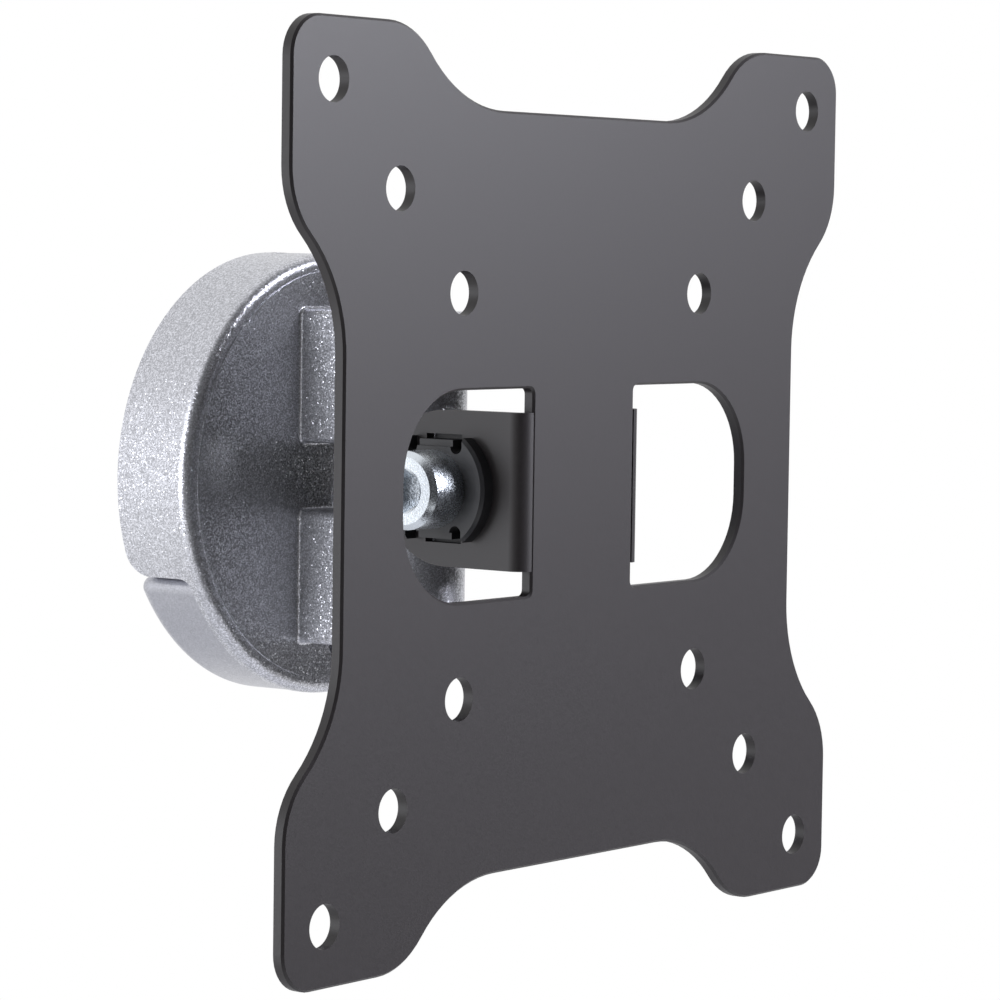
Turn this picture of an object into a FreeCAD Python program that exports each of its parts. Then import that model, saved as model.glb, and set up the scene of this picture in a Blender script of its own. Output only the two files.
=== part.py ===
"""Monitor wall mount: a cast wall disc with two lugs, a knuckle that swivels between them
and a pressed monitor plate that tilts on the knuckle.

Millimetres. The origin is the centre of the wall face, +X is to the right seen from the
front, +Y goes into the wall and +Z is up, so the mount stands out from the wall towards -Y.
"""
import FreeCAD, Part
import Sketcher
import math
import os

Vector = FreeCAD.Vector

doc = FreeCAD.newDocument("monitor_wall_mount")
sheet = doc.addObject("Spreadsheet::Sheet", "sizes")

SIZES = [
    # How far things stand out, from the wall forward
    ("swivel_reach", 24.7, "wall face to the upright swivel axis"),
    ("tilt_reach", 16.35, "swivel axis to the level tilt axis"),
    ("plate_reach", 12.65, "tilt axis to the front face of the monitor plate"),
    # Monitor plate, a steel pressing
    ("plate_thickness", 1.5, "sheet thickness"),
    ("plate_corner", 5.0, "radius of the outer corners"),
    ("waist_depth", 10.0, "how far each side is cut in between the ears"),
    ("waist_flat", 34.6, "straight length in the middle of each waist"),
    ("ear_width", 17.7, "from a corner to where the ear's shoulder begins"),
    ("shoulder_radius", 11.0, "outward curve of an ear's shoulder"),
    ("plate_edge", 0.3, "broken front edge of the punched outline"),
    ("screw_hole", 5.5, "clearance hole for a monitor screw, diameter"),
    ("outer_pitch", 100.0, "outermost hole square"),
    ("middle_pitch", 75.0, "middle hole square"),
    ("inner_pitch", 50.0, "innermost hole square"),
    ("plate_margin", 7.5, "outermost hole centres to the edge of the plate"),
    ("window_height", 26.2, "D-shaped window, top to bottom"),
    ("window_reach", 36.0, "plate centre to the window's round side"),
    ("window_radius", 11.0, "round corners on the window's outer side"),
    ("window_corner", 0.8, "small round corners of a window beside the strip"),
    ("strip_width", 21.4, "strip left standing between the two windows"),
    ("bend_radius", 0.6, "inside radius of the folded tabs"),
    ("tab_height", 20.0, "height of a folded tab"),
    ("tab_hole", 12.0, "round hole in a tab, diameter"),
    # Snap-in bushes of the tilt axis
    ("flange_diameter", 16.0, "bush flange"),
    ("flange_thickness", 2.15, "bush flange"),
    ("flange_chamfer", 0.4, "bevel round the flange"),
    ("seat_gap", 0.1, "clearance of a piece in the hole it is fixed in"),
    ("bush_tail", 0.9, "bush standing out behind the tab"),
    ("finger_width", 5.4, "snap finger"),
    ("finger_reach", 6.3, "tilt axis to the back of a finger"),
    ("finger_play", 0.2, "finger to the side of its notch in the tab"),
    ("finger_spring", 0.65, "room behind a finger for it to spring back, in the notch"),
    ("finger_hook", 1.1, "hook of a finger behind the tab"),
    ("finger_sink", 0.5, "finger end below the flange face"),
    ("slot_width", 1.8, "slot beside a finger"),
    ("slot_reach", 4.55, "tilt axis to the round end of a slot"),
    ("friction_thickness", 0.75, "friction washer of the tilt axis"),
    ("friction_diameter", 11.2, "friction washer of the tilt axis"),
    ("running_gap", 0.05, "play between faces that turn on each other"),
    # Fasteners
    ("screw_diameter", 6.0, "tilt and swivel screws, shank"),
    ("head_diameter", 10.0, "screw head"),
    ("head_height", 6.0, "screw head"),
    ("head_chamfer", 0.7, "bevel of a screw head's face"),
    ("hex_socket", 5.0, "across the flats"),
    ("socket_depth", 3.2, "hex socket"),
    ("thread_end", 1.0, "screw end standing out of its nut"),
    ("nut_flats", 10.0, "across the flats of a locking nut"),
    ("tilt_nut_height", 4.5, "low locking nut"),
    ("swivel_nut_height", 6.0, "locking nut"),
    ("spring_height", 1.0, "cone spring washer of the tilt axis"),
    ("spring_diameter", 11.0, "cone spring washer of the tilt axis"),
    ("small_spring_height", 1.2, "cone spring washer of the swivel axis"),
    ("small_spring_inset", 0.1, "swivel axis spring washer inside the flats of its nut"),
    ("washer_edge", 0.5, "how far the flat washer shows round the swivel screw's head"),
    ("washer_thickness", 1.6, "flat washer under the swivel screw's head"),
    # Knuckle, a casting
    ("barrel_diameter", 15.6, "level barrel on the tilt axis"),
    ("sleeve_diameter", 8.0, "steel sleeve in the barrel"),
    ("eye_diameter", 14.6, "upright eye on the swivel axis"),
    ("eye_height", 7.0, "upright eye"),
    ("neck_inset", 1.2, "end of the barrel to the side of the neck"),
    ("knuckle_round", 1.0, "cast edge rounding"),
    ("swivel_bush_diameter", 9.0, "flanged bush in the eye"),
    ("swivel_bush_space", 1.0, "between the two bushes inside the eye"),
    ("swivel_flange_diameter", 14.0, "flange of that bush"),
    # Base housing, a casting
    ("disc_diameter", 59.3, "at the wall"),
    ("disc_depth", 12.2, "wall face to the front of the disc"),
    ("disc_draft", 0.1, "how much smaller the disc's radius is at the front"),
    ("disc_round", 1.4, "rounding of the front rim"),
    ("rim_width", 2.05, "lower ring round the disc's front"),
    ("rim_step", 0.2, "how far that ring lies behind the front face"),
    ("skirt_thickness", 2.5, "skirt wall"),
    ("front_thickness", 2.25, "front wall"),
    ("lug_width", 15.4, "lug, and its round nose"),
    ("lug_span", 44.4, "top of the upper lug to the foot of the lower one"),
    ("lug_gap", 9.0, "between the lugs"),
    ("lug_round", 0.9, "cast edge rounding of the lugs"),
    ("lug_root", 0.5, "fillet where a lug meets the disc"),
    ("lug_seat", 8.1, "thickness of a lug between its seats"),
    ("head_play", 0.2, "flat washer to the wall of the counterbore"),
    ("nut_play", 0.4, "play of the swivel nut in its hex pocket"),
    ("core_wall", 3.4, "wall left round the pocket cored into a lug from behind"),
    ("vent_diameter", 2.0, "small hole under the lower lug"),
    ("vent_depth", 1.8, "small hole under the lower lug"),
    ("vent_drop", 0.1, "foot of the lower lug to the top of that hole"),
    # Lower trim strip and its notch in the skirt
    ("notch_level", 12.9, "below the centre, where the notch in the skirt ends"),
    ("lip_depth", 2.35, "front of the disc to the front of the notch"),
    ("notch_round", 3.0, "round corner of the skirt at the notch"),
    ("cover_inset", 0.12, "strip surface below the skirt surface"),
    ("cover_edge", 1.6, "rounded edge of the strip at the wall"),
    ("cover_round", 1.3, "rounded ends of the strip"),
    ("cover_gap", 0.12, "joint between strip and skirt"),
    ("peg_diameter", 1.6, "pegs that hold the strip"),
    ("peg_length", 1.2, "pegs that hold the strip"),
    ("peg_spread", 30.0, "from peg to peg"),
    ("peg_inset", 1.65, "skirt surface to the middle of a peg"),
    # Wall plate inside the housing, a dished steel pressing
    ("dish_thickness", 2.0, "sheet thickness"),
    ("dish_gap", 1.15, "raised rim to the inside of the skirt"),
    ("dish_rim", 2.4, "width of the raised rim"),
    ("dish_slope", 4.6, "width of the slope from the floor to the rim"),
    ("wall_pitch", 20.0, "square of the wall screw holes"),
    ("wall_hole", 5.5, "wall screw hole, diameter"),
    ("claw_overlap", 2.2, "claws of the housing behind the rim"),
    ("claw_thickness", 2.0, "claws of the housing"),
    ("claw_height", 6.0, "claws of the housing"),
    ("claw_drop", 6.0, "below the centre, middle of a claw"),
    ("claw_gap", 0.2, "claw behind the rim"),
    # Lock screw on top of the skirt
    ("lock_diameter", 4.0, "lock screw"),
    ("lock_length", 6.0, "lock screw"),
    ("lock_socket", 2.0, "across the flats of its socket"),
    ("lock_sink", 1.2, "screw end below the skirt surface"),
    ("lock_depth", 3.0, "wall face to the screw's axis"),
    ("lock_wall", 0.6, "wall of the boss before and behind the screw"),
    ("lock_boss", 7.2, "boss round the screw inside the skirt, width"),
    ("lock_boss_height", 3.6, "boss below the skirt's inner face"),
]


class Size:
    """A length together with the formula that gives it from the named sizes."""

    def __init__(self, number, formula):
        self.number = number
        self.formula = formula

    def joined(self, sign, number, other, swapped=False):
        text = other.formula if isinstance(other, Size) else str(other)
        left, right = (text, self.formula) if swapped else (self.formula, text)
        return Size(number, "(" + left + " " + sign + " " + right + ")")

    def __add__(self, other):
        return self.joined("+", self.number + plain(other), other)

    def __radd__(self, other):
        return self.joined("+", plain(other) + self.number, other, swapped=True)

    def __sub__(self, other):
        return self.joined("-", self.number - plain(other), other)

    def __rsub__(self, other):
        return self.joined("-", plain(other) - self.number, other, swapped=True)

    def __mul__(self, other):
        return self.joined("*", self.number * plain(other), other)

    def __rmul__(self, other):
        return self.joined("*", plain(other) * self.number, other, swapped=True)

    def __truediv__(self, other):
        return self.joined("/", self.number / plain(other), other)

    def __neg__(self):
        return Size(-self.number, "(-1 * " + self.formula + ")")


def plain(length):
    """The number of a Size, or the number itself."""
    return length.number if isinstance(length, Size) else float(length)


def formula(length):
    """The formula of a Size, or of a bare number."""
    return length.formula if isinstance(length, Size) else str(length)


def root(length):
    """Square root of a Size."""
    return Size(length.number ** 0.5, "sqrt(" + length.formula + ")")


def fill_sheet():
    """Put each size into the table under its name and return the sizes by name."""
    by_name = {}
    for row, (name, number, meaning) in enumerate(SIZES, start=1):
        sheet.set("A" + str(row), meaning)
        sheet.set("B" + str(row), str(number))
        sheet.setAlias("B" + str(row), name)
        by_name[name] = Size(number, "sizes." + name)
    doc.recompute()
    return by_name


size = fill_sheet()


def bind(thing, **lengths):
    """Tie properties to the sizes; a double underscore stands for a dot."""
    for name, length in lengths.items():
        thing.setExpression(name.replace("__", "."), formula(length))


# The sub-parts in the order they are built; each one's Label names its file.
sub_parts = []


def new_body(label):
    """An empty body that will be written out under this label."""
    body = doc.addObject("PartDesign::Body", label)
    body.Label = label
    sub_parts.append(body)
    return body


def origin_plane(body, role):
    return next(item for item in body.Origin.OriginFeatures if item.Role == role)


def new_sketch(body, role, offset=0):
    """A sketch on one of the body's origin planes, moved along the plane's normal.

    Local axes: XY_Plane has x, y and normal z; YZ_Plane has y, z and normal x;
    XZ_Plane has x, z and a normal towards -y, so its offset is a distance from the wall.
    """
    sketch = body.newObject("Sketcher::SketchObject", body.Label + "_sketch")
    sketch.AttachmentSupport = (origin_plane(body, role), [""])
    sketch.MapMode = "FlatFace"
    bind(sketch, AttachmentOffset__Base__z=offset)
    return sketch


def pin_point(sketch, item, vertex, across=None, up=None):
    """Hold a point of the sketch at given distances from the sketch's origin."""
    for kind, length in (("DistanceX", across), ("DistanceY", up)):
        if length is None:
            continue
        rule = sketch.addConstraint(Sketcher.Constraint(kind, -1, 1, item, vertex, plain(length)))
        name = "rule" + str(rule)
        sketch.renameConstraint(rule, name)
        sketch.setExpression("Constraints." + name, formula(length))


def polygon(sketch, *corners):
    """A closed outline of straight lines through corners given as (across, up)."""
    first = sketch.GeometryCount
    points = [Vector(plain(across), plain(up), 0) for across, up in corners]
    for here, there in zip(points, points[1:] + points[:1]):
        sketch.addGeometry(Part.LineSegment(here, there))
    for index, (across, up) in enumerate(corners):
        following = first + (index + 1) % len(corners)
        sketch.addConstraint(Sketcher.Constraint("Coincident", first + index, 2, following, 1))
        pin_point(sketch, first + index, 1, across, up)


def circle(sketch, radius, across=0, up=0):
    """A circle about a point of the sketch."""
    centre = Vector(plain(across), plain(up), 0)
    item = sketch.addGeometry(Part.Circle(centre, Vector(0, 0, 1), plain(radius)))
    pin_point(sketch, item, 3, across, up)
    rule = sketch.addConstraint(Sketcher.Constraint("Radius", item, plain(radius)))
    name = "rule" + str(rule)
    sketch.renameConstraint(rule, name)
    sketch.setExpression("Constraints." + name, formula(radius))


def extrude(body, kind, sketch, length, side="One side", backward=False):
    feature = body.newObject("PartDesign::" + kind, body.Label + "_" + kind.lower())
    feature.Profile = sketch
    feature.SideType = side
    feature.Reversed = backward
    bind(feature, Length=length)
    body.Tip = feature
    doc.recompute()
    return feature


def pad(body, sketch, length, side="One side", backward=False):
    """Add material from the sketch along its plane's normal."""
    return extrude(body, "Pad", sketch, length, side, backward)


def pocket(body, sketch, length, side="One side", backward=False):
    """Cut material from the sketch; unless told otherwise a pocket goes against the normal."""
    before = body.Shape.Volume
    feature = extrude(body, "Pocket", sketch, length, side, backward)
    if body.Shape.Volume >= before:
        raise ValueError(body.Label + ": a pocket cuts nothing")
    return feature


def revolve(body, sketch, axis="V_Axis"):
    """Turn the sketch once round one of its own axes."""
    feature = body.newObject("PartDesign::Revolution", body.Label + "_revolution")
    feature.Profile = sketch
    feature.ReferenceAxis = (sketch, [axis])
    feature.Angle = 360
    body.Tip = feature
    doc.recompute()
    return feature


def repeat_round(body, feature, sketch, count):
    """Copies of a feature round the normal through the sketch's origin."""
    pattern = body.newObject("PartDesign::PolarPattern", body.Label + "_round")
    pattern.Originals = [feature]
    pattern.Axis = (sketch, ["N_Axis"])
    pattern.Angle = 360
    pattern.Occurrences = count
    body.Tip = pattern
    doc.recompute()
    return pattern


def mirror(body, features, role):
    """Copies of features on the other side of one of the body's origin planes."""
    copy = body.newObject("PartDesign::Mirrored", body.Label + "_mirrored")
    copy.Originals = features
    copy.MirrorPlane = (origin_plane(body, role), [""])
    body.Tip = copy
    doc.recompute()
    return copy


def edges_where(body, wanted):
    """Names of the edges whose middle point and edge pass the test."""
    names = []
    for number, edge in enumerate(body.Shape.Edges, start=1):
        middle = edge.valueAt((edge.FirstParameter + edge.LastParameter) / 2)
        if wanted(middle, edge):
            names.append("Edge" + str(number))
    if not names:
        raise ValueError(body.Label + ": no edge fits the description")
    return names


def soften(body, kind, amount, wanted):
    """Fillet or Chamfer on the edges that pass the test."""
    base = body.Tip
    names = edges_where(body, wanted)
    feature = body.newObject("PartDesign::" + kind, body.Label + "_" + kind.lower())
    feature.Base = (base, names)
    if kind == "Fillet":
        bind(feature, Radius=amount)
    else:
        bind(feature, Size=amount)
    body.Tip = feature
    doc.recompute()
    return feature


# Two lengths closer than this, in millimetres, count as one
NEAR = 0.001


def near(value, target):
    return abs(value - plain(target)) < NEAR


def place(body, rotation=None, x=0, y=0, z=0):
    """Put a body that was drawn about its own origin where the mount needs it."""
    body.Placement = FreeCAD.Placement(Vector(0, 0, 0), rotation or FreeCAD.Rotation())
    bind(body, Placement__Base__x=x, Placement__Base__y=y, Placement__Base__z=z)


# Levels that several sub-parts share, as distances from the wall unless said otherwise
tilt_depth = size["swivel_reach"] + size["tilt_reach"]
plate_front = tilt_depth + size["plate_reach"]
plate_back = plate_front - size["plate_thickness"]
plate_half = size["outer_pitch"] / 2 + size["plate_margin"]
strip_half = size["strip_width"] / 2
bend_outer = size["bend_radius"] + size["plate_thickness"]
tab_inner = strip_half + size["bend_radius"]
tab_outer = strip_half + bend_outer
flange_face = tab_outer + size["flange_thickness"]
bush_end = tab_inner - size["bush_tail"]
knuckle_half = bush_end - size["friction_thickness"] - size["running_gap"]
screw_radius = size["screw_diameter"] / 2
turning_bore = screw_radius + size["running_gap"]
lug_half = size["lug_width"] / 2
lug_top = size["lug_span"] / 2
gap_half = size["lug_gap"] / 2
seat_level = gap_half + size["lug_seat"]
washer_radius = size["head_diameter"] / 2 + size["washer_edge"]
disc_radius = size["disc_diameter"] / 2
skirt_inside = disc_radius - size["skirt_thickness"]
dish_radius = skirt_inside - size["dish_gap"]
claw_front = size["lock_depth"] + size["lock_diameter"] / 2 + size["lock_wall"]
dish_rise = claw_front + size["claw_gap"]

# Which way a sub-part's own z axis points once it is placed
TO_LEFT = FreeCAD.Rotation(Vector(0, -1, 0), Vector(0, 0, 1), Vector(-1, 0, 0))
TO_RIGHT = FreeCAD.Rotation(Vector(0, 1, 0), Vector(0, 0, 1), Vector(1, 0, 0))
UPSIDE_DOWN = FreeCAD.Rotation(Vector(1, 0, 0), 180)

# Proportions that hold whatever the sizes are
HALF_ACROSS_CORNERS = math.sqrt(1 / 3)  # centre to corner of a hexagon, for one across its flats
SOCKET_MOUTH_DEPTH = 0.5  # depth of the worn cone in a socket's mouth, for one of its radius
NUT_COLLAR_SHARE = 0.25  # part of a locking nut's height that is its round collar
NUT_COLLAR_RADIUS = 0.43  # radius of that collar, for one across the flats
NUT_BEVEL_SLOPE = 0.6  # fall of the bevel on a nut's corners
CONE_SHEET_SHARE = 0.65  # sheet thickness of a cone spring washer, for one of its height
LOCK_POINT_SHARE = 0.3  # flat end of the lock screw's cone point, for one of its radius

# How far a cutting outline passes the material, and how deep an added one sits inside it
CUT_MARGIN = 1.0
ROOT_MARGIN = 0.6


def waist_outline(sketch):
    """One waist, open above: two shoulders that bend out into two hollows, and a flat.

    The shoulder's radius is a size; the hollow's follows, because the curves meet in one line.
    """
    flat = size["waist_flat"] / 2
    shoulder = plate_half - size["ear_width"]
    run = shoulder - flat
    depth = size["waist_depth"]
    both = (run * run + depth * depth) / (2 * depth)
    hollow = both - size["shoulder_radius"]
    floor = plate_half - depth
    top = plate_half + CUT_MARGIN
    turn = (run / both).number
    rise = (1 - turn ** 2) ** 0.5
    blend_x = plain(shoulder) - plain(size["shoulder_radius"]) * turn
    blend_y = plain(plate_half - size["shoulder_radius"]) + plain(size["shoulder_radius"]) * rise

    def curve(centre, start, end):
        """The arc about a centre that runs counter-clockwise from start to end."""
        spin = Part.Circle(centre, Vector(0, 0, 1), (start - centre).Length)
        return Part.ArcOfCircle(spin, spin.parameter(start), spin.parameter(end))

    right_top = Vector(plain(shoulder), plain(plate_half), 0)
    right_blend = Vector(blend_x, blend_y, 0)
    right_foot = Vector(plain(flat), plain(floor), 0)
    centre_out = right_top - Vector(0, plain(size["shoulder_radius"]), 0)
    centre_in = right_foot + Vector(0, plain(hollow), 0)

    def flipped(point):
        return Vector(-point.x, point.y, 0)

    lift = Vector(0, CUT_MARGIN, 0)
    sketch.addGeometry([
        Part.LineSegment(flipped(right_foot), right_foot),
        curve(centre_in, right_foot, right_blend),
        curve(centre_out, right_top, right_blend),
        Part.LineSegment(right_top, right_top + lift),
        Part.LineSegment(right_top + lift, flipped(right_top + lift)),
        Part.LineSegment(flipped(right_top + lift), flipped(right_top)),
        curve(flipped(centre_out), flipped(right_blend), flipped(right_top)),
        curve(flipped(centre_in), flipped(right_blend), flipped(right_foot)),
    ])
    foot, hollow_right, shoulder_right, side_right, lid, side_left, shoulder_left, hollow_left = range(8)
    rules = [
        ("Tangent", foot, 2, hollow_right, 1),
        ("Tangent", hollow_right, 2, shoulder_right, 2),
        ("Coincident", shoulder_right, 1, side_right, 1),
        ("Coincident", side_right, 2, lid, 1),
        ("Coincident", lid, 2, side_left, 1),
        ("Coincident", side_left, 2, shoulder_left, 2),
        ("Tangent", shoulder_left, 1, hollow_left, 1),
        ("Tangent", hollow_left, 2, foot, 1),
    ]
    for rule in rules:
        sketch.addConstraint(Sketcher.Constraint(*rule))
    pin_point(sketch, foot, 1, -flat, floor)
    pin_point(sketch, foot, 2, flat, floor)
    pin_point(sketch, side_right, 1, shoulder, plate_half)
    pin_point(sketch, side_right, 2, shoulder, top)
    pin_point(sketch, side_left, 2, -shoulder, plate_half)
    pin_point(sketch, side_left, 1, -shoulder, top)
    pin_point(sketch, shoulder_right, 3, shoulder, plate_half - size["shoulder_radius"])
    pin_point(sketch, shoulder_left, 3, -shoulder, plate_half - size["shoulder_radius"])


def monitor_plate():
    """Steel sheet with four ears, hole squares, two D windows and two tabs folded back."""
    body = new_body("monitor_plate")
    thickness = size["plate_thickness"]
    blank = new_sketch(body, "XZ_Plane", plate_back)
    polygon(blank, (-plate_half, -plate_half), (plate_half, -plate_half),
            (plate_half, plate_half), (-plate_half, plate_half))
    pad(body, blank, thickness)
    soften(body, "Fillet", size["plate_corner"],
           lambda middle, edge: near(abs(middle.x), plate_half) and near(abs(middle.z), plate_half))

    waist = new_sketch(body, "XZ_Plane", plate_back)
    waist_outline(waist)
    cut = pocket(body, waist, thickness, backward=True)
    repeat_round(body, cut, waist, 4)

    holes = new_sketch(body, "XZ_Plane", plate_back)
    for pitch in ("outer_pitch", "middle_pitch", "inner_pitch"):
        circle(holes, size["screw_hole"] / 2, size[pitch] / 2, size[pitch] / 2)
    cut = pocket(body, holes, thickness, backward=True)
    repeat_round(body, cut, holes, 4)

    window = new_sketch(body, "XZ_Plane", plate_back)
    window_half = size["window_height"] / 2
    polygon(window, (strip_half, -window_half), (size["window_reach"], -window_half),
            (size["window_reach"], window_half), (strip_half, window_half))
    cut = pocket(body, window, thickness, backward=True)
    mirror(body, [cut], "YZ_Plane")
    soften(body, "Fillet", size["window_radius"],
           lambda middle, edge: near(abs(middle.x), size["window_reach"])
           and near(abs(middle.z), window_half))
    soften(body, "Fillet", size["window_corner"],
           lambda middle, edge: near(abs(middle.x), strip_half) and near(abs(middle.z), window_half))

    # The front edge of the outline and of the windows is broken; the rest stays sharp.
    soften(body, "Chamfer", size["plate_edge"],
           lambda middle, edge: near(middle.y, -plate_front)
           and not (edge.Curve.TypeId == "Part::GeomCircle"
                    and near(edge.Curve.Radius, size["screw_hole"] / 2)))

    tab_half = size["tab_height"] / 2
    bend = new_sketch(body, "XY_Plane")
    centre = Vector(plain(strip_half), plain(bend_outer - plate_front), 0)
    turn = Vector(0, 0, 1)
    quarter = (-math.pi / 2, 0)
    bend.addGeometry([
        Part.ArcOfCircle(Part.Circle(centre, turn, plain(bend_outer)), *quarter),
        Part.LineSegment(centre + Vector(plain(bend_outer), 0, 0),
                         centre + Vector(plain(size["bend_radius"]), 0, 0)),
        Part.ArcOfCircle(Part.Circle(centre, turn, plain(size["bend_radius"])), *quarter),
        Part.LineSegment(centre - Vector(0, plain(size["bend_radius"]), 0),
                         centre - Vector(0, plain(bend_outer), 0)),
    ])
    outside, end, inside, start = range(4)
    for rule in (("Coincident", outside, 2, end, 1), ("Coincident", end, 2, inside, 2),
                 ("Coincident", inside, 1, start, 1), ("Coincident", start, 2, outside, 1),
                 ("Coincident", outside, 3, inside, 3), ("Horizontal", end), ("Vertical", start)):
        bend.addConstraint(Sketcher.Constraint(*rule))
    pin_point(bend, outside, 3, strip_half, bend_outer - plate_front)
    pin_point(bend, outside, 1, up=-plate_front)
    pin_point(bend, inside, 1, up=-plate_back)
    pin_point(bend, outside, 2, up=bend_outer - plate_front)
    pin_point(bend, outside, 1, across=strip_half)
    folded = pad(body, bend, size["tab_height"], "Symmetric")

    flank = new_sketch(body, "YZ_Plane", tab_inner)
    polygon(flank, (bend_outer - plate_front, -tab_half), (-tilt_depth, -tab_half),
            (-tilt_depth, tab_half), (bend_outer - plate_front, tab_half))
    side = pad(body, flank, thickness)
    nose = new_sketch(body, "YZ_Plane", tab_inner)
    circle(nose, tab_half, -tilt_depth)
    rounded = pad(body, nose, thickness)
    hole = new_sketch(body, "YZ_Plane", tab_inner)
    circle(hole, size["tab_hole"] / 2, -tilt_depth)
    bored = pocket(body, hole, thickness, backward=True)
    key = new_sketch(body, "YZ_Plane", tab_inner)
    key_half = size["finger_width"] / 2 + size["finger_play"]
    key_reach = size["finger_reach"] + size["finger_spring"]
    polygon(key, (-tilt_depth - key_half, -key_reach), (-tilt_depth + key_half, -key_reach),
            (-tilt_depth + key_half, key_reach), (-tilt_depth - key_half, key_reach))
    keyed = pocket(body, key, thickness, backward=True)
    mirror(body, [folded, side, rounded, bored, keyed], "YZ_Plane")


def tilt_bush(label, rotation, x):
    """Black plastic bush: a flange with two snap fingers set between slots.

    Drawn with its flange on z = 0 and upwards, and its barrel through the tab below.
    """
    body = new_body(label)
    radius = size["flange_diameter"] / 2
    barrel = size["tab_hole"] / 2 - size["seat_gap"]
    depth = size["plate_thickness"] + size["bush_tail"]
    bore = screw_radius + size["seat_gap"]
    profile = new_sketch(body, "XZ_Plane")
    polygon(profile, (bore, -depth), (barrel, -depth), (barrel, 0), (radius, 0),
            (radius, size["flange_thickness"] - size["flange_chamfer"]),
            (radius - size["flange_chamfer"], size["flange_thickness"]),
            (bore, size["flange_thickness"]))
    revolve(body, profile)

    finger = size["finger_width"] / 2
    slot_outer = finger + size["slot_width"]
    slot_round = size["slot_width"] / 2
    slot_foot = size["slot_reach"] + slot_round
    beyond = radius + CUT_MARGIN
    whole = depth + size["flange_thickness"]

    slots = new_sketch(body, "XY_Plane", size["flange_thickness"])
    ends = new_sketch(body, "XY_Plane", size["flange_thickness"])
    for side in (-1, 1):
        for level in (-1, 1):
            polygon(slots, (side * finger, level * slot_foot), (side * slot_outer, level * slot_foot),
                    (side * slot_outer, level * beyond), (side * finger, level * beyond))
            circle(ends, slot_round, side * (finger + slot_round), level * slot_foot)
    pocket(body, slots, whole)
    pocket(body, ends, whole)

    # The fingers: cut free of the flange's rim, sunk a little, and hooked behind the tab
    tips = new_sketch(body, "XY_Plane", size["flange_thickness"])
    sunk = new_sketch(body, "XY_Plane", size["flange_thickness"])
    stems = new_sketch(body, "XY_Plane")
    hooks = new_sketch(body, "XY_Plane", -size["plate_thickness"] - size["running_gap"])
    root_level = size["slot_reach"]
    for level in (-1, 1):
        polygon(tips, (-finger, level * size["finger_reach"]), (finger, level * size["finger_reach"]),
                (finger, level * beyond), (-finger, level * beyond))
        polygon(sunk, (-finger, level * slot_foot), (finger, level * slot_foot),
                (finger, level * beyond), (-finger, level * beyond))
        polygon(stems, (-finger, level * root_level), (finger, level * root_level),
                (finger, level * size["finger_reach"]), (-finger, level * size["finger_reach"]))
        hook_reach = size["finger_reach"] + size["finger_hook"]
        polygon(hooks, (-finger, level * root_level), (finger, level * root_level),
                (finger, level * hook_reach), (-finger, level * hook_reach))
    pocket(body, tips, size["flange_thickness"])
    pocket(body, sunk, size["finger_sink"])
    pad(body, stems, depth, backward=True)
    pad(body, hooks, size["bush_tail"] - size["running_gap"], backward=True)
    soften(body, "Chamfer", size["finger_hook"] / 2,
           lambda middle, edge: near(abs(middle.y), hook_reach) and near(middle.z, -depth))
    place(body, rotation, x, -tilt_depth)


def cap_screw(label, length, rotation, x=0, y=0, z=0):
    """Zinc-plated cap screw: head above z = 0 with a hex socket, shank below."""
    body = new_body(label)
    head = size["head_diameter"] / 2
    bevel = size["head_chamfer"]
    profile = new_sketch(body, "XZ_Plane")
    polygon(profile, (0, -length), (screw_radius - bevel, -length), (screw_radius, bevel - length),
            (screw_radius, 0), (head, 0), (head, size["head_height"] - bevel),
            (head - bevel, size["head_height"]), (0, size["head_height"]))
    revolve(body, profile)
    socket = new_sketch(body, "XY_Plane", size["head_height"])
    hexagon(socket, size["hex_socket"])
    pocket(body, socket, size["socket_depth"])
    mouth = size["hex_socket"] * HALF_ACROSS_CORNERS
    soften_socket(body, mouth)
    place(body, rotation, x, y, z)


def hexagon(sketch, across_flats):
    """A hexagon about the sketch's origin with two flats facing its x axis."""
    flat = across_flats / 2
    corner = across_flats * HALF_ACROSS_CORNERS
    polygon(sketch, (flat, corner / 2), (0, corner), (-flat, corner / 2),
            (-flat, -corner / 2), (0, -corner), (flat, -corner / 2))


def soften_socket(body, mouth):
    """A cone worn into the mouth of a hex socket by the tool that breaks its edge."""
    top = size["head_height"]
    cone = new_sketch(body, "XZ_Plane")
    polygon(cone, (0, top), (mouth, top), (0, top - mouth * SOCKET_MOUTH_DEPTH))
    groove = body.newObject("PartDesign::Groove", body.Label + "_groove")
    groove.Profile = cone
    groove.ReferenceAxis = (cone, ["V_Axis"])
    groove.Angle = 360
    body.Tip = groove
    doc.recompute()


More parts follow.
